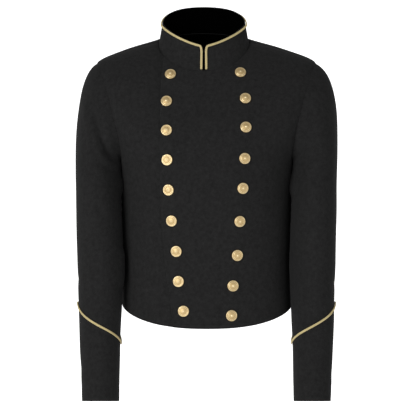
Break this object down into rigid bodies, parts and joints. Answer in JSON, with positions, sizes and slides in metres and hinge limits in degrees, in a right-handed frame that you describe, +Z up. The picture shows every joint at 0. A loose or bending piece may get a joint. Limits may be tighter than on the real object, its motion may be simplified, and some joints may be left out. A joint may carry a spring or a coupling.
{
  "type": "military-style jacket",
  "caption": "Waist-length double-breasted black wool jacket with a standing collar, gold cord trim on collar and forearms, and domed brass buttons.",
  "frame": {"origin": "midway between the two sides of the neck, level with the neck end of the shoulder seams, where a wearer or a hanger holds the jacket", "axes": "+X towards the wearer's left, +Y out of the back, +Z up towards the collar; the buttoned front faces -Y"},
  "size_m": [0.5073, 0.2416, 0.7662],
  "materials": {
    "wool": "matt, softly brushed",
    "gold_cord": "twisted, half bright",
    "brass": "pale, polished"
  },
  "bodies": {
    "root": {"front_left": "wool", "front_right": "wool", "back": "wool", "sleeve_left": "wool", "sleeve_right": "wool", "collar": "wool", "collar_piping": "gold_cord", "cuff_piping_left": "gold_cord", "cuff_piping_right": "gold_cord", "button_left_1": "brass", "button_left_2": "brass", "button_left_3": "brass", "button_left_4": "brass", "button_left_5": "brass", "button_left_6": "brass", "button_left_7": "brass", "button_left_8": "brass", "button_left_9": "brass", "button_right_1": "brass", "button_right_2": "brass", "button_right_3": "brass", "button_right_4": "brass", "button_right_5": "brass", "button_right_6": "brass", "button_right_7": "brass", "button_right_8": "brass", "button_right_9": "brass"}
  },
  "joints": []
}
